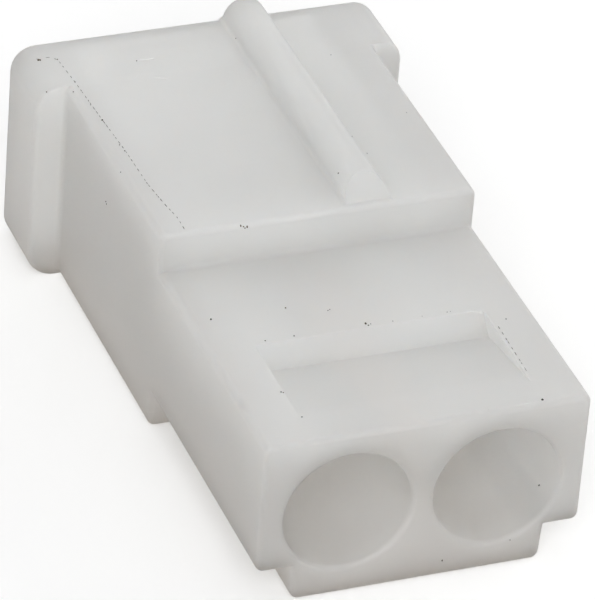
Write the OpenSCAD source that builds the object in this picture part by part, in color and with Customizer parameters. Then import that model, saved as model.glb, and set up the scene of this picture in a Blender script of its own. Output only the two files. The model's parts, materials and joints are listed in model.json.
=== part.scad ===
// Hooded pin-and-socket housing for crimped wire terminals, one moulded piece of natural nylon.
// X runs across the circuits, Y from the wire-entry face to the mating mouth, Z up.
// The origin is under the middle of the housing, on the surface it rests on.

/* [Circuits] */
// Number of wire circuits, side by side
circuits = 2; // [1:1:4]
// Distance between the axes of neighbouring circuits
pitch = 6.7; // [6.3:0.1:8]

/* [Wire tunnels] */
// Diameter of the round wire entry
entry_d = 5.68; // [4.8:0.02:6]
// Length of the straight land inside the wire entry
entry_land = 1.5; // [1:0.1:2.2]
// Length of the funnel from the land down to the throat
funnel_len = 6.3; // [5:0.1:7]
// Diameter of the throat that the terminal's lances snap through
throat_d = 3.9; // [3.2:0.05:4.2]
// Length of the throat
throat_len = 3.2; // [2.4:0.1:3.6]
// Diameter of the contact seat in front of the throat
seat_d = 4.8; // [4.3:0.05:5.4]

/* [Rear body] */
// Length of the rear body, from the wire-entry face to the step
rear_len = 13.3; // [13:0.1:16]
// Wall beside the outermost wire entries
side_wall = 1.07; // [0.8:0.01:1.6]
// Wall above the wire entries
roof_wall = 1.11; // [0.95:0.01:1.6]
// Wall below the wire entries, keel included
floor_wall = 1.32; // [1:0.01:1.8]
// Depth of the keel below the sides of the rear body
keel_h = 1.72; // [1.3:0.02:2]
// How far the keel's root lies inside the rear body's sides
keel_inset = 1.56; // [1.1:0.02:2.2]
// Draft angle of the keel's sides
keel_draft = 3.4; // [0.5:0.1:6]

/* [Finger recess] */
// Distance from the wire-entry face to the recess
recess_start = 1.64; // [1.2:0.02:2.4]
// Length of the recess along the housing
recess_len = 5.45; // [4:0.05:6.2]
// How far the recess stays inside the rear body's sides
recess_inset = 2.1; // [1.6:0.05:3]
// Depth of the recess at its deep end
recess_depth = 0.78; // [0.5:0.02:0.9]
// Length of the steep ramp at the recess's deep end
recess_back_len = 0.9; // [0.3:0.05:1.4]
// Depth of the short ramp at the recess's shallow end
recess_lip = 0.2; // [0.1:0.01:0.3]
// Length of the short ramp at the recess's shallow end
recess_lip_len = 0.9; // [0.4:0.05:1.2]

/* [Hood] */
// Length of the hood, from the step to the mouth
hood_len = 16.35; // [14:0.05:20]
// Rise of the hood's top above the rear body's top
step_h = 1.83; // [1.2:0.01:2.4]
// Wall of the hood
hood_wall = 1.3; // [1:0.02:1.6]
// Thickness of the floor at the bottom of the hood
hood_floor = 1.3; // [0.6:0.05:2]
// Radius of the corners inside the hood
cavity_r = 0.5; // [0.2:0.05:1]
// Lead-in chamfer round the mouth
lead_in = 0.35; // [0.2:0.05:0.6]

/* [Latch flange] */
// Length of the flange round the mouth
flange_len = 3.95; // [3:0.05:5]
// How far the flange stands out at each side
flange_over = 1.45; // [1:0.05:2]
// Radius of the flange's four corners
flange_r = 1.15; // [0.8:0.05:1.6]
// Radius of the rounding on the mouth's rim
rim_r = 0.45; // [0.2:0.05:0.6]

/* [Polarising rib] */
// Radius of the half-round rib
rib_r = 1.01; // [0.8:0.01:1.2]
// Sideways distance from the last circuit's axis to the rib
rib_offset = 1.03; // [0:0.01:2]
// Radius of the key groove inside the hood, under the rib
groove_r = 0.8; // [0.5:0.02:1]
// Slope of the rib's rear end
rib_slope = 45; // [30:1:70]

/* [Edges] */
// Rounding of the long outer edges
edge_r = 0.35; // [0.3:0.01:0.6]
// Rounding round the wire-entry face and the step
end_r = 0.25; // [0.1:0.01:0.3]

/* [Hidden] */
$fn = 64;
// Facets of the outlines that a hull joins
hull_fn = 32;
// Steps in the rounding of an end
end_steps = 4;
// How far a cutter runs past the face it opens
past = 1;
// How far one block reaches into the next, so that they fuse
bite = 0.5;

// Heights above the resting surface
tunnel_z = floor_wall + entry_d / 2;
rear_top = floor_wall + entry_d + roof_wall;
hood_top = rear_top + step_h;
cavity_top = hood_top - hood_wall;
// Widths
body_w = (circuits - 1) * pitch + entry_d + 2 * side_wall;
flange_w = body_w + 2 * flange_over;
keel_top_w = body_w - 2 * keel_inset;
keel_bottom_w = keel_top_w - 2 * keel_h * tan(keel_draft);
recess_w = body_w - 2 * recess_inset;
cavity_w = body_w - 2 * hood_wall;
// Stations along the housing, from the wire-entry face
funnel_end = entry_land + funnel_len;
throat_end = funnel_end + throat_len;
cavity_start = rear_len + hood_floor;
total_len = rear_len + hood_len;
flange_start = total_len - flange_len;
recess_end = recess_start + recess_len;
// Sideways places
function circuit_x(i) = (i - (circuits - 1) / 2) * pitch;
rib_x = circuit_x(circuits - 1) - rib_offset;

// Lays an XZ outline along Y, from station y0 to station y1.
module along_y(y0, y1) {
    translate([0, y1, 0]) rotate([90, 0, 0]) linear_extrude(y1 - y0) children();
}

// Stands a YZ outline across the housing, w wide and centred.
module across_x(w) {
    rotate([90, 0, 90]) linear_extrude(w, center = true) children();
}

// Rectangle of width w from height z0 to z1, with corners of radius r.
module rounded_rect(w, z0, z1, r) {
    translate([-w / 2 + r, z0]) square([w - 2 * r, z1 - z0]);
    translate([-w / 2, z0 + r]) square([w, z1 - z0 - 2 * r]);
    for (x = [-w / 2 + r, w / 2 - r], z = [z0 + r, z1 - r]) translate([x, z]) circle(r);
}

// Rounding of an end, as layers from the last full section (step 0) to the end face.
function end_angle(step) = 90 * step / end_steps;
function end_inset(step, r) = r * (1 - cos(end_angle(step)));
function end_reach(step, r) = r * sin(end_angle(step));

// Block from station y0 to y1 with corners of radius r, its end at y1 rounded by end_round.
module soft_ended_block(w, z0, z1, r, y0, y1, end_round) {
    full_y = y1 - end_round;
    along_y(y0, full_y) rounded_rect(w, z0, z1, r);
    hull($fn = hull_fn) for (step = [0:end_steps]) {
        inset = end_inset(step, end_round);
        along_y(full_y - bite, full_y + end_reach(step, end_round))
            rounded_rect(w - 2 * inset, z0 + inset, z1 - inset, r - inset);
    }
}

// Turns a block that was built towards +Y round, so that its rounded end is at its rear.
module rear_end_rounded() {
    mirror([0, 1, 0]) children();
}

// Block that carries the wire tunnels.
module rear_body() {
    rear_end_rounded()
        soft_ended_block(body_w, keel_h, rear_top, edge_r, -(rear_len + bite), 0, end_r);
}

// Drafted keel that gives the tunnels their floor and the housing its rest.
module keel() {
    rear_end_rounded() hull($fn = hull_fn) for (step = [0:end_steps]) {
        inset = end_inset(step, end_r);
        along_y(-(rear_len + bite), -end_r + end_reach(step, end_r)) {
            for (side = [-1, 1])
                translate([side * (keel_bottom_w / 2 - edge_r), edge_r]) circle(edge_r - inset);
            translate([-keel_top_w / 2 + inset, keel_h]) square([keel_top_w - 2 * inset, bite]);
        }
    }
}

// Sleeve round the mating cavity, still solid here.
module hood() {
    rear_end_rounded()
        soft_ended_block(body_w, 0, hood_top, edge_r, -(total_len - rim_r), -rear_len, end_r);
}

// Collar round the mouth, whose side shoulders take the mating half's latches.
module flange() {
    soft_ended_block(flange_w, 0, hood_top, flange_r, flange_start, total_len, rim_r);
}

// Half-round rib along the hood, sloped at its rear end and rounded at the mouth.
module rib() {
    intersection() {
        translate([rib_x, 0, hood_top]) rotate([-90, 0, 0]) rotate_extrude() {
            square([rib_r - rim_r, total_len]);
            square([rib_r, total_len - rim_r]);
            translate([rib_r - rim_r, total_len - rim_r]) circle(rim_r);
        }
        translate([rib_x, 0, 0]) across_x(2 * rib_r + past) polygon([
            [rear_len, hood_top - rib_r],
            [rear_len, hood_top],
            [rear_len + rib_r / tan(rib_slope), hood_top + rib_r],
            [total_len + past, hood_top + rib_r],
            [total_len + past, hood_top - rib_r]
        ]);
    }
}

// Room for one crimped terminal: entry land, funnel, throat and contact seat, as one turned profile.
module wire_tunnel() {
    rotate([-90, 0, 0]) rotate_extrude() polygon([
        [0, -past],
        [entry_d / 2, -past],
        [entry_d / 2, entry_land],
        [throat_d / 2, funnel_end],
        [throat_d / 2, throat_end],
        [seat_d / 2, throat_end],
        [seat_d / 2, cavity_start + past],
        [0, cavity_start + past]
    ]);
}

// Shallow wedge sunk in the roof, deepest where the tunnels are narrow.
module finger_recess() {
    across_x(recess_w) polygon([
        [recess_start, rear_top + past],
        [recess_start, rear_top],
        [recess_start + recess_lip_len, rear_top - recess_lip],
        [recess_end - recess_back_len, rear_top - recess_depth],
        [recess_end, rear_top],
        [recess_end, rear_top + past]
    ]);
}

// Mating cavity with its key groove and the lead-in round its mouth.
module hood_cavity() {
    along_y(cavity_start, total_len + past) rounded_rect(cavity_w, hood_wall, cavity_top, cavity_r);
    translate([rib_x, cavity_start, cavity_top]) rotate([-90, 0, 0])
        cylinder(r = groove_r, h = hood_len + past);
    hull($fn = hull_fn) {
        along_y(total_len - lead_in, total_len) rounded_rect(cavity_w, hood_wall, cavity_top, cavity_r);
        along_y(total_len, total_len + past) rounded_rect(
            cavity_w + 2 * lead_in, hood_wall - lead_in, cavity_top + lead_in, cavity_r + lead_in);
    }
}

module housing() {
    color("#d2d4d0") translate([0, -total_len / 2, 0]) difference() {
        union() {
            rear_body();
            keel();
            hood();
            flange();
            rib();
        }
        for (i = [0:circuits - 1]) translate([circuit_x(i), 0, tunnel_z]) wire_tunnel();
        finger_recess();
        hood_cavity();
    }
}

housing();
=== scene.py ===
"""A hooded connector housing, moulded in natural nylon, on a pale floor.

The shell is worked out in millimetres, in the part's own stations: x across the circuits, s along the
housing from the wire-entry face (s = 0) to the mouth, z up from the resting surface.
"""
import json

import bmesh
import bpy
import numpy as np
from mathutils import Matrix, Vector
from mathutils.bvhtree import BVHTree


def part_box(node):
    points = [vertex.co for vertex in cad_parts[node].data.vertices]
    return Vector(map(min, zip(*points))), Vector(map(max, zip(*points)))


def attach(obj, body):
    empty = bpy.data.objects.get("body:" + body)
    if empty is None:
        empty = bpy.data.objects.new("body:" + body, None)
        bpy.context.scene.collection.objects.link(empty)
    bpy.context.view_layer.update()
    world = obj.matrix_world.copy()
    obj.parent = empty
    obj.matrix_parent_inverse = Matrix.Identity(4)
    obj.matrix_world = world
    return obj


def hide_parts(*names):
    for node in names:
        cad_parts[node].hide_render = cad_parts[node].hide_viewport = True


MM = 0.001
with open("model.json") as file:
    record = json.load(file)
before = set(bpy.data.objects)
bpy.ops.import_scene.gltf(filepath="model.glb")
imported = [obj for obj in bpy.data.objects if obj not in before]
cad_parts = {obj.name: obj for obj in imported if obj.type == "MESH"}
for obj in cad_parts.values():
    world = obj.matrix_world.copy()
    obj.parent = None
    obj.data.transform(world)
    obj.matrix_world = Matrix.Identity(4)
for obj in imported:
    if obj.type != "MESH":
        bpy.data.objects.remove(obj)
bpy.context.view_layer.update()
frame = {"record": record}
record = frame["record"]
mounts = {mount["name"]: mount for mount in record["mounts"]}
node_low, node_high = (np.array(corner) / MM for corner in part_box("housing"))

# ---------------------------------------------------------------- sizes, in millimetres
LENGTH = node_high[1] - node_low[1]
FLANGE_HALF = (node_high[0] - node_low[0]) / 2
RIB_R = 1.01
HOOD_TOP = node_high[2] - RIB_R


def mount_size(name, key):
    """One stated size of a mount."""
    return mounts[name]["dims"][key]


def station(metres):
    """Distance from the wire-entry face of a place along the housing's Y."""
    return metres / MM - node_low[1]


CIRCUIT_X = [mounts[name]["pos_m"][0] / MM for name in ("wire_entry_left", "wire_entry_right")]
TUNNEL_Z = mounts["wire_entry_left"]["pos_m"][2] / MM
ENTRY_R = mount_size("wire_entry_left", "r_mm")
ENTRY_LAND = mount_size("wire_entry_left", "length_mm")
THROAT_R = mount_size("throat_left", "r_mm")
THROAT_LEN = mount_size("throat_left", "length_mm")
THROAT_START = station(mounts["throat_left"]["pos_m"][1]) - THROAT_LEN / 2
SEAT_R = mount_size("contact_seat_left", "r_mm")
CAVITY_START = THROAT_START + THROAT_LEN + mount_size("contact_seat_left", "length_mm")
FLANGE_START = station(mounts["latch_shoulder_left"]["pos_m"][1])
SIDE_WALL = 1.07
ROOF_WALL = 1.11
BODY_HALF = CIRCUIT_X[-1] + ENTRY_R + SIDE_WALL
REAR_LEN = 13.3
REAR_TOP = TUNNEL_Z + ENTRY_R + ROOF_WALL
KEEL_H = 1.72
KEEL_INSET = 1.56
KEEL_DRAFT = np.radians(3.4)
HOOD_WALL = 1.3
CAVITY_R = 0.5
LEAD_IN = 0.35
FLANGE_R = 1.15
RIM_R = 0.45
EDGE_R = 0.35
END_R = 0.25
FILLET_R = 0.22
RIB_X = CIRCUIT_X[-1] - 1.03
RIB_SLOPE = np.radians(45)
GROOVE_R = 0.8
RECESS_HALF = BODY_HALF - 2.1
RECESS_START = 1.64
RECESS_LEN = 5.45
RECESS_DEPTH = 0.78
RECESS_BACK_LEN = 0.9
RECESS_LIP = 0.2
RECESS_LIP_LEN = 0.9
BITE = 0.6
PAST = 1.0
ARC_STEPS = 10
ROUND_STEPS = 128
FILLET_STEPS = 24
FILLET_SINK = 0.25
FILLET_END_SHARE = 0.05
MERGE = 0.002
SHARP_ANGLE = np.radians(32)
NORMAL_WEIGHT = 60

# ---------------------------------------------------------------- marks on the skin, in millimetres
# A place on the skin is a face and two distances: x and s on top, s and z on the left, x and z at the rear,
# s and an angle round the axis in the right tunnel. A fleck adds its radius, and a raised burr painted pale
# as a highlight has two places.
DARK_FLECKS = [
    ("top", -6.29, 9.39, 0.045), ("top", -0.05, 7.42, 0.055), ("top", 0.02, 7.27, 0.035),
    ("top", 0.15, 7.34, 0.028), ("top", -4.61, 7.32, 0.03), ("top", -3.31, 7.34, 0.026),
    ("top", 1.14, 7.3, 0.022), ("top", 2.48, 7.32, 0.024), ("top", 3.63, 7.33, 0.026),
    ("top", 3.78, 7.35, 0.022), ("top", -1.25, 8.75, 0.03), ("top", -1.15, 8.8, 0.022),
    ("top", -5.27, 3.64, 0.036), ("top", -5.2, 3.57, 0.03), ("top", -5.04, 1.78, 0.03),
    ("top", 5.88, 6.21, 0.036), ("top", 5.09, 0.3, 0.052), ("top", -6.84, 25.94, 0.028),
    ("top", -7.13, 25.3, 0.03), ("top", -6.69, 22.66, 0.045), ("top", -6.79, 23.97, 0.028),
    ("top", -6.61, 20.57, 0.026), ("top", -6.55, 20.06, 0.026), ("top", -6.26, 15.61, 0.03),
    ("top", -7.0, 27.92, 0.032), ("top", -3.61, 26.94, 0.034), ("top", 1.3, 27.5, 0.026),
    ("top", 3.1, 17.74, 0.024), ("top", 3.66, 17.23, 0.024), ("top", 6.57, 19.91, 0.022),
    ("top", 5.03, 25.28, 0.024), ("left", 18.7, 9.8, 0.03), ("left", 20.1, 7.41, 0.036),
    ("left", 20.02, 7.33, 0.032), ("rear", 1.13, 0.77, 0.036), ("rear", 4.18, 1.24, 0.024),
    ("right tunnel", 1.27, np.radians(-27), 0.036)]
BROWN_FLECKS = [
    ("top", -3.62, 13.36, 0.045), ("top", -3.5, 13.33, 0.03), ("rear", -3.34, 9.78, 0.05),
    ("rear", -3.44, 9.74, 0.036), ("top", -7.81, 28.14, 0.055), ("top", -7.75, 28.08, 0.045),
    ("top", -2.93, 9.39, 0.03), ("top", -8.2, 25.8, 0.03), ("top", 1.5, 15.2, 0.034)]
SUNK_FLECKS = [
    ("left", 3.44, 7.75, 0.16)]
# Fine raised dashes along the parting line and the recess side, dark in colour as painted shade of these
# edges.
PARTING_LINE = [
    ("top", -6.09, 13.6), ("top", -6.08, 14.5), ("top", -6.26, 15.6), ("top", -6.45, 17.3),
    ("top", -6.52, 20.1), ("top", -6.68, 22.7), ("top", -6.84, 25.9), ("top", -6.99, 27.9),
    ("top", -7.3, 28.2), ("top", -7.8, 28.26), ("top", -8.3, 28.15), ("top", -8.6, 27.95)]
RECESS_SIDE_LINE = [
    ("top", 5.35, 5.8), ("top", 5.3, 4.1), ("top", 5.25, 2.4)]
# Raised burrs, each between two places, painted pale as highlights where they catch the light.
BURR_HIGHLIGHTS = [
    [("top", -8.45, 25.78), ("top", -8.2, 25.84)], [("top", -8.1, 25.86), ("top", -7.5, 25.86)],
    [("top", 7.3, 25.95), ("top", 7.9, 25.95)], [("top", -3.52, 26.98), ("top", -2.78, 26.95)],
    [("top", -3.35, 25.45), ("top", -2.75, 25.2)], [("top", -7.1, 13.42), ("top", -6.3, 13.38)],
    [("top", 3.85, 0.22), ("top", 4.15, 0.18)], [("top", 4.2, 0.24), ("top", 4.5, 0.22)],
    [("top", 2.6, 0.2), ("top", 2.68, 0.26)], [("top", 4.35, 7.12), ("top", 4.85, 7.08)],
    [("top", 4.95, 7.06), ("top", 5.12, 6.98)], [("top", -6.42, 16.15), ("top", -6.4, 16.2)]]
LINE_R = 0.016
BURR_R = 0.03
DASH = 0.22
SINK = 0.35
OUTSIDE = 20
POLE_GAP = 0.05
ROD_END_SHARE = 0.3
SEED = 7
GRAIN_SPREAD = (0.6, 1.35)
DASH_SPREAD = (0.6, 1.4)
GAP_SPREAD = (0.1, 1.2)
THICKNESS_SPREAD = (0.7, 1.2)

# ---------------------------------------------------------------- view and light, in degrees and millimetres
CAMERA_AZIMUTH = 23.18
CAMERA_ELEVATION = 34.0
CAMERA_ROLL = 4.73
CAMERA_DISTANCE = 238.7
CAMERA_AIM = (-0.41, -0.76, 5.0)
CAMERA_LENS = 329.93
CAMERA_NEAR = 10
FLOOR_HALF = 800
WORLD_LIGHT = 0.4
FLOOR_LIGHT = 0.2
FLOOR_LIFT = 0.2
# Each lamp has its place in metres, its side in metres and its power in watts.
LAMPS = [
    ("top_light", (0.0, 0.1, 0.5), 0.5, 0.1),
    ("front_light", (-0.16, -0.38, 0.28), 0.35, 1.6),
    ("left_light", (-0.45, 0.05, 0.2), 0.35, 0.15),
    ("right_light", (0.45, 0.05, 0.2), 0.35, 1.0),
    ("back_light", (0.0, 0.45, 0.25), 0.35, 0.4)]

# ---------------------------------------------------------------- finishes, lengths in millimetres
NYLON_IOR = 1.53
NYLON_SHADE = "#f3f3f0"
NYLON_LIGHT = "#f7f7f5"
SCATTER = 7.0
SCATTER_RGB = (1.06, 1.0, 0.94)
SEE_THROUGH = 0.45
ROUGH = 0.5
ROUGH_SPREAD = 0.07
CLOUD_SIZE = 4.0
WAVE_SIZE = 3.0
WAVE_HEIGHT = 0.03
WAVE_SHARE = 0.3
SKIN_GRAIN = 0.12
SKIN_HEIGHT = 0.01
SKIN_SHARE = 0.25
# Painted highlight: the pale colours of the raised burrs.
HIGHLIGHT_DIM = "#eeeeec"
HIGHLIGHT_BRIGHT = "#fbfbfa"
HIGHLIGHT_GRAIN = 0.05
HIGHLIGHT_ROUGH = 0.7
DARK_DUST = "#4b4640"
BROWN_DUST = "#7d6a52"
# Painted shade: the colour of the dark dashes along the parting line and the recess side.
LINE_SHADE = "#a09d95"
DUST_AND_SHADE_GRAIN = 0.04
DUST_AND_SHADE_ROUGH = 0.9
FLOOR_PAINT = "#f2f2f2"
FLOOR_GLOW = "#ffe8cf"
WHITE = "#ffffff"

QUARTER = np.linspace(0, np.pi / 2, ARC_STEPS)


# ---------------------------------------------------------------- meshes from grids of points
def closed_grid(name, points):
    """Closed solid from points[i, j]: rings i are joined in order, j runs round each ring, and both ends
    are capped."""
    rings, around = points.shape[:2]
    index = np.arange(rings * around).reshape(rings, around)
    following = np.roll(index, -1, axis=1)
    sides = np.stack([index[:-1], following[:-1], following[1:], index[1:]], axis=-1).reshape(-1, 4)
    place = points.reshape(-1, 3)
    caps = [index[0, ::-1], index[-1]]
    a, b, c, d = (place[sides[:, k]] for k in range(4))
    middle = place.mean(axis=0)
    outward = np.einsum("ij,ij->i", np.cross(c - a, d - b), (a + b + c + d) / 4 - middle).sum()
    if outward < 0:
        sides = sides[:, ::-1]
        caps = [cap[::-1] for cap in caps]
    in_row = place + np.array([0, node_low[1], 0])
    mesh = bpy.data.meshes.new(name)
    mesh.from_pydata((in_row * MM).tolist(), [], [*sides.tolist(), *(cap.tolist() for cap in caps)])
    mesh.update()
    piece = bpy.data.objects.new(name, mesh)
    bpy.context.scene.collection.objects.link(piece)
    return piece


def rounded_block(name, s, half, low, high, radius, draft=0.0):
    """Loft of rounded rectangles. Ring i lies at s[i], with x = +-(half - radius) + radius cos a and
    z = low or high, radius inside, + radius sin a, a over a quarter turn at each corner. Drafted sides lean
    out by tan(draft) for each millimetre of height."""
    s, half, low, high, radius = (
        value[:, None] for value in np.broadcast_arrays(*(np.atleast_1d(v).astype(float)
                                                          for v in (s, half, low, high, radius))))
    corners = []
    for start, side_x, side_z in ((0, 1, 1), (1, -1, 1), (2, -1, -1), (3, 1, -1)):
        angle = QUARTER + start * np.pi / 2
        x = side_x * (half - radius) + radius * np.cos(angle)
        z = (high - radius if side_z > 0 else low + radius) + radius * np.sin(angle)
        corners.append(np.stack([x, np.broadcast_to(s, x.shape), z], axis=-1))
    points = np.concatenate(corners, axis=1)
    points[..., 0] += np.sign(points[..., 0]) * np.tan(draft) * (points[..., 2] - low)
    return closed_grid(name, points)


def rear_rounding(start, radius):
    """Stations and insets of an end rounded towards the wire entries: a quarter circle of that radius."""
    return start + radius * (1 - np.cos(QUARTER)), radius * (1 - np.sin(QUARTER))


def front_rounding(end, radius):
    """The same for an end rounded towards the mouth."""
    return end - radius * (1 - np.sin(QUARTER)), radius * (1 - np.cos(QUARTER))


def fillet_strip(name, start, end, face_a, face_b, radius):
    """Fills the inner corner along start-end. Its section is the square of side radius between the two
    faces less a quarter circle about the square's far corner, and it shrinks to nothing at both ends."""
    along = np.linspace(0, 1, FILLET_STEPS)[:, None]
    size = radius * np.clip(np.minimum(along, 1 - along) * FILLET_STEPS / 2, FILLET_END_SHARE, 1) ** 0.5
    a = np.concatenate([[-FILLET_SINK, 1], 1 - np.sin(QUARTER), [-FILLET_SINK]])
    b = np.concatenate([[-FILLET_SINK, -FILLET_SINK], 1 - np.cos(QUARTER), [1]])
    line = np.array(start) + along * (np.array(end) - np.array(start))
    section = a[:, None] * np.array(face_a) + b[:, None] * np.array(face_b)
    points = line[:, None] + size[..., None] * section
    return closed_grid(name, points)


def turned(name, x, z, profile):
    """Solid of revolution about the axis at x, z along s. Ring i has the station and radius of
    profile[i]."""
    angle = np.linspace(0, 2 * np.pi, ROUND_STEPS, endpoint=False)
    s, r = np.array(profile).T
    ring = np.stack([np.cos(angle), np.zeros_like(angle), np.sin(angle)], axis=-1)
    centre = np.array([x, 0, z]) + s[:, None, None] * np.array([0, 1, 0])
    return closed_grid(name, centre + r[:, None, None] * ring)


# ---------------------------------------------------------------- the housing's solids
def rear_body():
    """Block of the wire tunnels, rounded round the wire-entry face."""
    s, inset = rear_rounding(0, END_R)
    s, inset = np.append(s, REAR_LEN + BITE), np.append(inset, 0)
    return rounded_block(
        "rear_body", s, BODY_HALF - inset, KEEL_H + inset, REAR_TOP - inset, EDGE_R - inset)


def keel():
    """Keel under the tunnels, its sides drafted."""
    s, inset = rear_rounding(0, END_R)
    s, inset = np.append(s, REAR_LEN + BITE), np.append(inset, 0)
    foot_half = BODY_HALF - KEEL_INSET - KEEL_H * np.tan(KEEL_DRAFT)
    return rounded_block("keel", s, foot_half - inset, inset, KEEL_H + BITE, EDGE_R - inset, KEEL_DRAFT)


def hood():
    """Hood and flange in one loft. The half width steps out at the flange's rear face, over a concave
    quarter circle at its root and a convex one at its edge, while the corner radius grows with it."""
    s, inset = rear_rounding(REAR_LEN, END_R)
    half = BODY_HALF - inset
    low, high, radius = inset, HOOD_TOP - inset, EDGE_R - inset
    root_s = FLANGE_START - FILLET_R * (1 - np.sin(QUARTER))
    root_half = BODY_HALF + FILLET_R * (1 - np.cos(QUARTER))
    edge_s = FLANGE_START + END_R * (1 - np.cos(QUARTER))
    edge_half = FLANGE_HALF - END_R * (1 - np.sin(QUARTER))
    out_half = np.concatenate([root_half, edge_half])
    growth = (out_half - BODY_HALF) / (FLANGE_HALF - BODY_HALF)
    out_radius = EDGE_R + growth * (FLANGE_R - EDGE_R)
    rim_s, rim_inset = front_rounding(LENGTH, RIM_R)
    level = np.zeros_like(out_half)
    return rounded_block(
        "hood",
        np.concatenate([s, root_s, edge_s, rim_s]),
        np.concatenate([half, out_half, FLANGE_HALF - rim_inset]),
        np.concatenate([low, level, rim_inset]),
        np.concatenate([high, level + HOOD_TOP, HOOD_TOP - rim_inset]),
        np.concatenate([radius, out_radius, FLANGE_R - rim_inset]))


def rib():
    """Half-round rib. Its section is a half circle of RIB_R on the hood's top, blended into it by a fillet
    circle that touches both. The rear end starts later the higher a point lies, which gives the slope."""
    reach = np.sqrt((RIB_R + FILLET_R) ** 2 - FILLET_R ** 2)
    meet = np.arcsin(FILLET_R / (RIB_R + FILLET_R))
    dome = np.linspace(meet, np.pi - meet, 4 * ARC_STEPS)
    foot = np.linspace(-np.pi / 2, -np.pi + meet, ARC_STEPS)[:-1]
    foot_x, foot_z = reach + FILLET_R * np.cos(foot), FILLET_R + FILLET_R * np.sin(foot)
    x = np.concatenate([[reach], foot_x, RIB_R * np.cos(dome), -foot_x[::-1], [-reach]])
    z = np.concatenate([[-BITE], foot_z, RIB_R * np.sin(dome), foot_z[::-1], [-BITE]])
    s, inset = front_rounding(LENGTH, RIM_R)
    shrink = (1 - inset / RIB_R)[:, None]
    start = REAR_LEN + END_R + np.clip(z, 0, None) / np.tan(RIB_SLOPE)
    rear_ring = np.stack([RIB_X + x, start, HOOD_TOP + z], axis=-1)
    rings = np.stack([
        RIB_X + x * shrink,
        np.broadcast_to(s[:, None], shrink.shape[:1] + x.shape),
        HOOD_TOP + np.where(z > 0, z * shrink, z)], axis=-1)
    return closed_grid("rib", np.concatenate([rear_ring[None], rings]))


def inner_corner_fillets():
    """Strips that soften the foot of the step and both roots of the keel."""
    side = BODY_HALF - EDGE_R
    root = BODY_HALF - KEEL_INSET
    strips = [fillet_strip("step_foot", (-side, REAR_LEN, REAR_TOP), (side, REAR_LEN, REAR_TOP),
                           (0, -1, 0), (0, 0, 1), FILLET_R)]
    for sign in (-1, 1):
        strips.append(fillet_strip(
            "keel_root", (sign * root, END_R, KEEL_H), (sign * root, REAR_LEN, KEEL_H),
            (sign, 0, 0), (0, 0, -1), FILLET_R))
    return strips


def wire_tunnel(x):
    """Room of one terminal, turned: rounded entry, land, funnel, throat, and contact seat with a rounded
    rim."""
    profile = [(-PAST, ENTRY_R + END_R)]
    profile += [(END_R * (1 - np.cos(a)), ENTRY_R + END_R * (1 - np.sin(a))) for a in QUARTER]
    profile += [(ENTRY_LAND, ENTRY_R), (THROAT_START, THROAT_R), (THROAT_START + THROAT_LEN, THROAT_R)]
    profile += [(THROAT_START + THROAT_LEN, SEAT_R)]
    profile += [(CAVITY_START - END_R * (1 - np.sin(a)), SEAT_R + END_R * (1 - np.cos(a))) for a in QUARTER]
    profile += [(CAVITY_START + PAST, SEAT_R + END_R)]
    return turned("wire_tunnel", x, TUNNEL_Z, profile)


def hood_cavity():
    """Mating cavity: rounded where its floor meets its walls, flared by a quarter circle at the mouth."""
    floor_s, floor_inset = rear_rounding(CAVITY_START, END_R)
    flare_s = LENGTH - LEAD_IN * (1 - np.sin(QUARTER))
    flare = LEAD_IN * (1 - np.cos(QUARTER))
    s = np.concatenate([floor_s, flare_s, [LENGTH + PAST]])
    out = np.concatenate([-floor_inset, flare, flare[-1:]])
    half = BODY_HALF - HOOD_WALL
    return rounded_block(
        "hood_cavity", s, half + out, HOOD_WALL - out, HOOD_TOP - HOOD_WALL + out, CAVITY_R + out)


def key_groove():
    """Groove for the mating half's key, under the rib, flared at the mouth."""
    profile = [(CAVITY_START, GROOVE_R - END_R), (CAVITY_START + END_R, GROOVE_R)]
    profile += [(LENGTH - LEAD_IN * (1 - np.sin(a)), GROOVE_R + LEAD_IN * (1 - np.cos(a))) for a in QUARTER]
    profile += [(LENGTH + PAST, GROOVE_R + LEAD_IN)]
    return turned("key_groove", RIB_X, HOOD_TOP - HOOD_WALL, profile)


def finger_recess():
    """Wedge sunk in the roof: a short lip, a floor that follows the funnels, and a steep back."""
    end = RECESS_START + RECESS_LEN
    lip_end, back_start = RECESS_START + RECESS_LIP_LEN, end - RECESS_BACK_LEN
    s = np.array([RECESS_START, RECESS_START, lip_end, back_start, end, end])
    z = REAR_TOP + np.array([PAST, 0, -RECESS_LIP, -RECESS_DEPTH, 0, PAST])
    x = np.array([-RECESS_HALF, RECESS_HALF])[:, None] + np.zeros_like(s)
    return closed_grid("finger_recess", np.stack([x, s + np.zeros_like(x), z + np.zeros_like(x)], axis=-1))


def combine(piece, other, operation):
    """Applies one boolean to the piece and removes the other solid."""
    cut = piece.modifiers.new("cut", "BOOLEAN")
    cut.operation = operation
    cut.solver = "MANIFOLD"
    cut.object = other
    graph = bpy.context.evaluated_depsgraph_get()
    mesh = bpy.data.meshes.new_from_object(piece.evaluated_get(graph))
    piece.modifiers.clear()
    piece.data = mesh
    bpy.data.objects.remove(other)


def housing_shell():
    """The whole moulding: solids joined, then tunnels, cavity, groove and recess cut."""
    shell = hood()
    shell.name = "housing_shell"
    for solid in [rear_body(), keel(), rib(), *inner_corner_fillets()]:
        combine(shell, solid, "UNION")
    for room in [hood_cavity(), key_groove(), finger_recess(), *(wire_tunnel(x) for x in CIRCUIT_X)]:
        combine(shell, room, "DIFFERENCE")
    return shell


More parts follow.
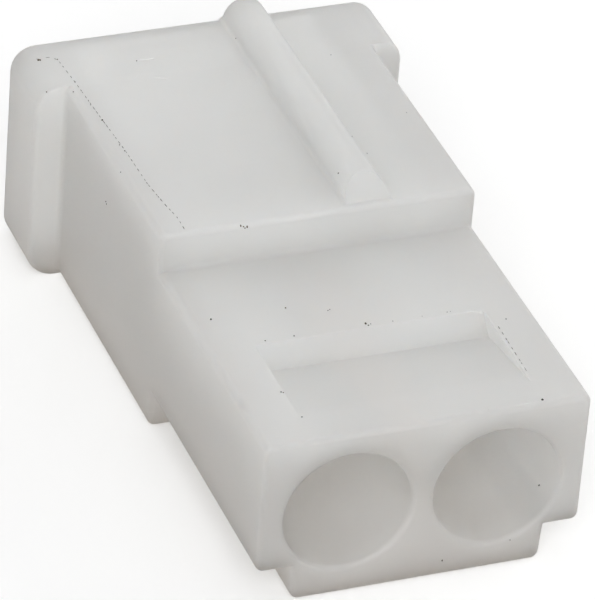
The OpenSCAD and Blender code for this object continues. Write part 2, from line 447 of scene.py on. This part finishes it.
def tidy_surface(piece):
    """Merges doubles, marks edges sharper than SHARP_ANGLE and weights normals by face area, so that flat
    walls stay flat beside their rounded edges."""
    mesh = piece.data
    work = bmesh.new()
    work.from_mesh(mesh)
    bmesh.ops.remove_doubles(work, verts=work.verts, dist=MERGE * MM)
    bmesh.ops.dissolve_degenerate(work, edges=work.edges, dist=MERGE * MM)
    work.to_mesh(mesh)
    work.free()
    mesh.shade_smooth()
    mesh.set_sharp_from_angle(angle=SHARP_ANGLE)
    normals = piece.modifiers.new("normals", "WEIGHTED_NORMAL")
    normals.keep_sharp = True
    normals.weight = NORMAL_WEIGHT


# ---------------------------------------------------------------- marks on the skin
def seat(tree, face, a, b):
    """Where a straight line towards a face meets the shell, in station millimetres, and the normal
    there."""
    start, way = {
        "top": ((a, b, OUTSIDE), (0, 0, -1)),
        "left": ((-OUTSIDE, a, b), (1, 0, 0)),
        "rear": ((a, -OUTSIDE, b), (0, 1, 0)),
        "right tunnel": ((CIRCUIT_X[-1], a, TUNNEL_Z), (np.cos(b), 0, np.sin(b))),
    }[face]
    row = np.array([0, node_low[1], 0])
    place, normal, _, _ = tree.ray_cast(Vector((np.array(start) + row) * MM), Vector(way))
    return np.array(place) / MM - row, np.array(normal)


def ball_grid(rings=6, around=8):
    """Unit ball: latitude i and longitude j over the grid, its poles just short of closed."""
    latitude = np.linspace(-np.pi / 2 + POLE_GAP, np.pi / 2 - POLE_GAP, rings)[:, None]
    longitude = np.linspace(0, 2 * np.pi, around, endpoint=False)
    return np.stack([np.cos(latitude) * np.cos(longitude), np.cos(latitude) * np.sin(longitude),
                     np.sin(latitude) * np.ones(around)], axis=-1)


def joined(name, pieces):
    """One piece from several closed ones."""
    work = bmesh.new()
    for piece in pieces:
        work.from_mesh(piece.data)
        bpy.data.objects.remove(piece)
    mesh = bpy.data.meshes.new(name)
    work.to_mesh(mesh)
    work.free()
    mesh.shade_smooth()
    whole = bpy.data.objects.new(name, mesh)
    bpy.context.scene.collection.objects.link(whole)
    return whole


def flecks(name, tree, places, depth, draws):
    """Specks of dirt: balls with uneven radii, seated on the skin or sunk to a depth under it."""
    grains = []
    for face, a, b, radius in places:
        place, normal = seat(tree, face, a, b)
        uneven = draws.uniform(*GRAIN_SPREAD, 3)
        grains.append(closed_grid(name, place - depth * normal + radius * uneven * ball_grid()))
    return joined(name, grains)


def rod(name, start, end, radius):
    """Closed rod of six sides between two points, its radius swelling as a half sine from end to end."""
    along = np.linspace(0, 1, 7)[:, None, None]
    axis = end - start
    lies_flat = abs(axis[2]) < abs(axis[:2]).max()
    side = np.cross(axis, [0, 0, 1.0] if lies_flat else [0, 1.0, 0])
    side = side / np.linalg.norm(side)
    up = np.cross(side, axis / np.linalg.norm(axis))
    angle = np.linspace(0, 2 * np.pi, 6, endpoint=False)[:, None]
    swell = radius * (ROD_END_SHARE + (1 - ROD_END_SHARE) * np.sin(np.pi * along))
    return closed_grid(name, start + along * axis + swell * (np.cos(angle) * side + np.sin(angle) * up))


def dashed_line(name, tree, places, radius, draws):
    """Broken line through places on the skin: dashes of about DASH, with gaps that vary."""
    corners = np.array([seat(tree, *place)[0] for place in places])
    steps = np.linalg.norm(np.diff(corners, axis=0), axis=1)
    reach = np.concatenate([[0], np.cumsum(steps)])
    dashes, at = [], 0.0
    while at < reach[-1] - DASH:
        ends = np.array([at, at + DASH * draws.uniform(*DASH_SPREAD)])
        start, end = (np.array([np.interp(at, reach, corners[:, k]) for k in range(3)]) for at in ends)
        dashes.append(rod(name, start, end, radius * draws.uniform(*THICKNESS_SPREAD)))
        at = ends[1] + DASH * draws.uniform(*GAP_SPREAD)
    return dashes


def skin_marks(shell):
    """Dirt specks, dark dashes of painted shade along the parting line and the recess side, and raised burrs
    painted pale as highlights, each kind in one piece.
    """
    mesh = shell.data
    corners = [vertex.co for vertex in mesh.vertices]
    tree = BVHTree.FromPolygons(corners, [list(face.vertices) for face in mesh.polygons])
    draws = np.random.default_rng(SEED)
    # Raised dashes along the parting line and the recess side, their dark colour painted shade.
    lines = dashed_line("parting_line", tree, PARTING_LINE, LINE_R, draws)
    lines += dashed_line("parting_line", tree, RECESS_SIDE_LINE, LINE_R, draws)
    # Rods on the raised burrs, their pale colour a painted highlight.
    scuffs = [rod("scuffs", seat(tree, *start)[0], seat(tree, *end)[0], BURR_R) for start, end in BURR_HIGHLIGHTS]
    return {
        flecks("dark_flecks", tree, DARK_FLECKS, 0, draws): dust_and_shade("dark_dust", DARK_DUST),
        flecks("brown_flecks", tree, BROWN_FLECKS, 0, draws): dust_and_shade("brown_dust", BROWN_DUST),
        flecks("sunk_flecks", tree, SUNK_FLECKS, SINK, draws): dust_and_shade("sunk_dust", DARK_DUST),
        joined("parting_line", lines): dust_and_shade("line_dust", LINE_SHADE),
        joined("scuffs", scuffs): scuffed_nylon(),
    }


# ---------------------------------------------------------------- materials
def srgb(code):
    """Linear colour of an sRGB hex value."""
    value = np.array([int(code[k:k + 2], 16) for k in (1, 3, 5)]) / 255
    linear = np.where(value <= 0.04045, value / 12.92, ((value + 0.055) / 1.055) ** 2.4)
    return (*linear.tolist(), 1.0)


def add_node(material, kind, links=(), **settings):
    """Adds a node. Settings name an attribute, or a socket by its name with _ for a space. Each link is
    (source node, its output, this node's input)."""
    node = material.node_tree.nodes.new(kind)
    for key, value in settings.items():
        socket = node.inputs.get(key.replace("_", " "))
        if socket is not None:
            socket.default_value = value
        else:
            setattr(node, key, value)
    for source, output, target in links:
        material.node_tree.links.new(source.outputs[output], node.inputs[target])
    return node


def new_material(name):
    """Empty node material."""
    material = bpy.data.materials.new(name)
    material.use_nodes = True
    material.node_tree.nodes.clear()
    return material


def natural_nylon():
    """Nylon 6/6 without pigment, injection moulded. It is milky: light goes deep into it and comes out
    millimetres away, which softens its edges, lights its tunnels and lets thin walls show what lies behind.
    The mould leaves a fine satin skin, with shallow waves where the walls have shrunk."""
    material = new_material("natural_nylon")
    place = add_node(material, "ShaderNodeTexCoord")
    cloud = add_node(material, "ShaderNodeTexNoise", [(place, "Object", "Vector")],
                     Scale=1 / (CLOUD_SIZE * MM), Detail=2.0)
    tint = add_node(material, "ShaderNodeMix", [(cloud, "Fac", "Factor")], data_type="RGBA")
    tint.inputs["A"].default_value = srgb(NYLON_SHADE)
    tint.inputs["B"].default_value = srgb(NYLON_LIGHT)
    grain = add_node(material, "ShaderNodeTexNoise", [(place, "Object", "Vector")],
                     Scale=1 / (SKIN_GRAIN * MM), Detail=3.0)
    wave = add_node(material, "ShaderNodeTexNoise", [(place, "Object", "Vector")],
                    Scale=1 / (WAVE_SIZE * MM), Detail=1.0)
    waves = add_node(material, "ShaderNodeBump", [(wave, "Fac", "Height")],
                     Strength=WAVE_SHARE, Distance=WAVE_HEIGHT * MM)
    skin = add_node(material, "ShaderNodeBump", [(grain, "Fac", "Height"), (waves, "Normal", "Normal")],
                    Strength=SKIN_SHARE, Distance=SKIN_HEIGHT * MM)
    rough = add_node(material, "ShaderNodeMapRange", [(grain, "Fac", "Value")])
    rough.inputs["To Min"].default_value = ROUGH - ROUGH_SPREAD
    rough.inputs["To Max"].default_value = ROUGH + ROUGH_SPREAD
    shader = add_node(
        material, "ShaderNodeBsdfPrincipled",
        [(tint, "Result", "Base Color"), (skin, "Normal", "Normal"), (rough, "Result", "Roughness")],
        subsurface_method="RANDOM_WALK", Subsurface_Weight=1.0, Subsurface_Scale=SCATTER * MM,
        Subsurface_Radius=SCATTER_RGB, Transmission_Weight=SEE_THROUGH, IOR=NYLON_IOR)
    add_node(material, "ShaderNodeOutputMaterial", [(shader, "BSDF", "Surface")])
    return material


def scuffed_nylon():
    """Painted highlight for the raised burrs: nylon 6/6 made pale and opaque, so that it scatters light at
    once and shows brighter than the milky body."""
    material = new_material("scuffed_nylon")
    place = add_node(material, "ShaderNodeTexCoord")
    grain = add_node(material, "ShaderNodeTexNoise", [(place, "Object", "Vector")],
                     Scale=1 / (HIGHLIGHT_GRAIN * MM))
    tint = add_node(material, "ShaderNodeMix", [(grain, "Fac", "Factor")], data_type="RGBA")
    tint.inputs["A"].default_value = srgb(HIGHLIGHT_DIM)
    tint.inputs["B"].default_value = srgb(HIGHLIGHT_BRIGHT)
    shader = add_node(material, "ShaderNodeBsdfPrincipled", [(tint, "Result", "Base Color")],
                      Roughness=HIGHLIGHT_ROUGH, IOR=NYLON_IOR)
    add_node(material, "ShaderNodeOutputMaterial", [(shader, "BSDF", "Surface")])
    return material


def dust_and_shade(name, colour):
    """Dull finish, uneven in tone: settled moulding-shop dirt on the flecks, and painted shade on the dark
    dashes.
    """
    material = new_material(name)
    place = add_node(material, "ShaderNodeTexCoord")
    grain = add_node(material, "ShaderNodeTexNoise", [(place, "Object", "Vector")],
                     Scale=1 / (DUST_AND_SHADE_GRAIN * MM))
    tone = add_node(material, "ShaderNodeHueSaturation", [(grain, "Fac", "Value")], Color=srgb(colour))
    shader = add_node(material, "ShaderNodeBsdfPrincipled", [(tone, "Color", "Base Color")],
                      Roughness=DUST_AND_SHADE_ROUGH)
    add_node(material, "ShaderNodeOutputMaterial", [(shader, "BSDF", "Surface")])
    return material


def looking(owner):
    """1 for rays that look at a surface straight, mirrored or through the nylon, and 0 for light's own
    rays."""
    path = add_node(owner, "ShaderNodeLightPath")
    mirrored = add_node(owner, "ShaderNodeMath", [(path, "Is Camera Ray", 0), (path, "Is Glossy Ray", 1)],
                        operation="MAXIMUM")
    return add_node(owner, "ShaderNodeMath", [(mirrored, "Value", 0), (path, "Is Transmission Ray", 1)],
                    operation="MAXIMUM")


def pale_floor():
    """White table. Rays that look at it see it lifted towards white, with the object's shadow on it, and
    light's own rays see a faint warm glow."""
    material = new_material("pale_floor")
    paint = add_node(material, "ShaderNodeBsdfDiffuse", Color=srgb(FLOOR_PAINT))
    lift = add_node(material, "ShaderNodeEmission", Color=srgb(WHITE), Strength=FLOOR_LIFT)
    glow = add_node(material, "ShaderNodeEmission", Color=srgb(FLOOR_GLOW), Strength=FLOOR_LIGHT)
    any_view = looking(material)
    lit = add_node(material, "ShaderNodeAddShader", [(paint, "BSDF", 0), (lift, "Emission", 1)])
    mix = add_node(material, "ShaderNodeMixShader", [
        (any_view, "Value", 0), (glow, "Emission", 1), (lit, "Shader", 2)])
    add_node(material, "ShaderNodeOutputMaterial", [(mix, "Shader", "Surface")])
    return material


def white_world():
    """Even studio light from all round, seen as white."""
    world = bpy.data.worlds.new("studio")
    world.use_nodes = True
    world.node_tree.nodes.clear()
    any_view = looking(world)
    light = add_node(world, "ShaderNodeBackground", Color=srgb(WHITE), Strength=WORLD_LIGHT)
    white = add_node(world, "ShaderNodeBackground", Color=srgb(WHITE), Strength=1.0)
    mix = add_node(world, "ShaderNodeMixShader", [
        (any_view, "Value", 0), (light, "Background", 1), (white, "Background", 2)])
    add_node(world, "ShaderNodeOutputWorld", [(mix, "Shader", "Surface")])
    bpy.context.scene.world = world


# ---------------------------------------------------------------- stage, light and camera
def floor():
    """Flat floor far wider than the view."""
    mesh = bpy.data.meshes.new("floor")
    far = FLOOR_HALF * MM
    mesh.from_pydata([(-far, -far, 0), (far, -far, 0), (far, far, 0), (-far, far, 0)], [], [(0, 1, 2, 3)])
    piece = bpy.data.objects.new("floor", mesh)
    bpy.context.scene.collection.objects.link(piece)
    mesh.materials.append(pale_floor())


def soft_box(name, place, side, power):
    """Square area lamp at a place, aimed at the origin."""
    lamp = bpy.data.lights.new(name, "AREA")
    lamp.shape = "SQUARE"
    lamp.size = side
    lamp.energy = power
    holder = bpy.data.objects.new(name, lamp)
    holder.location = place
    holder.rotation_euler = (-Vector(place)).to_track_quat("-Z", "Y").to_euler()
    bpy.context.scene.collection.objects.link(holder)


def camera():
    """Camera at the stated bearing, height angle, roll and distance from the point that it aims at."""
    azimuth, elevation = np.radians(CAMERA_AZIMUTH), np.radians(CAMERA_ELEVATION)
    roll = np.radians(CAMERA_ROLL)
    ahead = np.cos(elevation)
    forward = Vector((np.sin(azimuth) * ahead, np.cos(azimuth) * ahead, -np.sin(elevation)))
    level = forward.cross(Vector((0, 0, 1))).normalized()
    above = level.cross(forward)
    right = level * np.cos(roll) + above * np.sin(roll)
    up = right.cross(forward)
    lens = bpy.data.cameras.new("camera")
    lens.lens = CAMERA_LENS
    lens.clip_start = CAMERA_NEAR * MM
    holder = bpy.data.objects.new("camera", lens)
    turn = Matrix((right, up, -forward)).transposed().to_4x4()
    stand = Vector(CAMERA_AIM) * MM - forward * CAMERA_DISTANCE * MM
    holder.matrix_world = Matrix.Translation(stand) @ turn
    bpy.context.scene.collection.objects.link(holder)
    bpy.context.scene.camera = holder


bpy.context.scene.view_settings.view_transform = "Standard"
camera()
white_world()
floor()
for lamp in LAMPS:
    soft_box(*lamp)

shell = housing_shell()
tidy_surface(shell)
shell.data.materials.clear()
shell.data.materials.append(natural_nylon())
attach(shell, "root")
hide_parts("housing")
for piece, material in skin_marks(shell).items():
    piece.data.materials.append(material)
    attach(piece, "root")
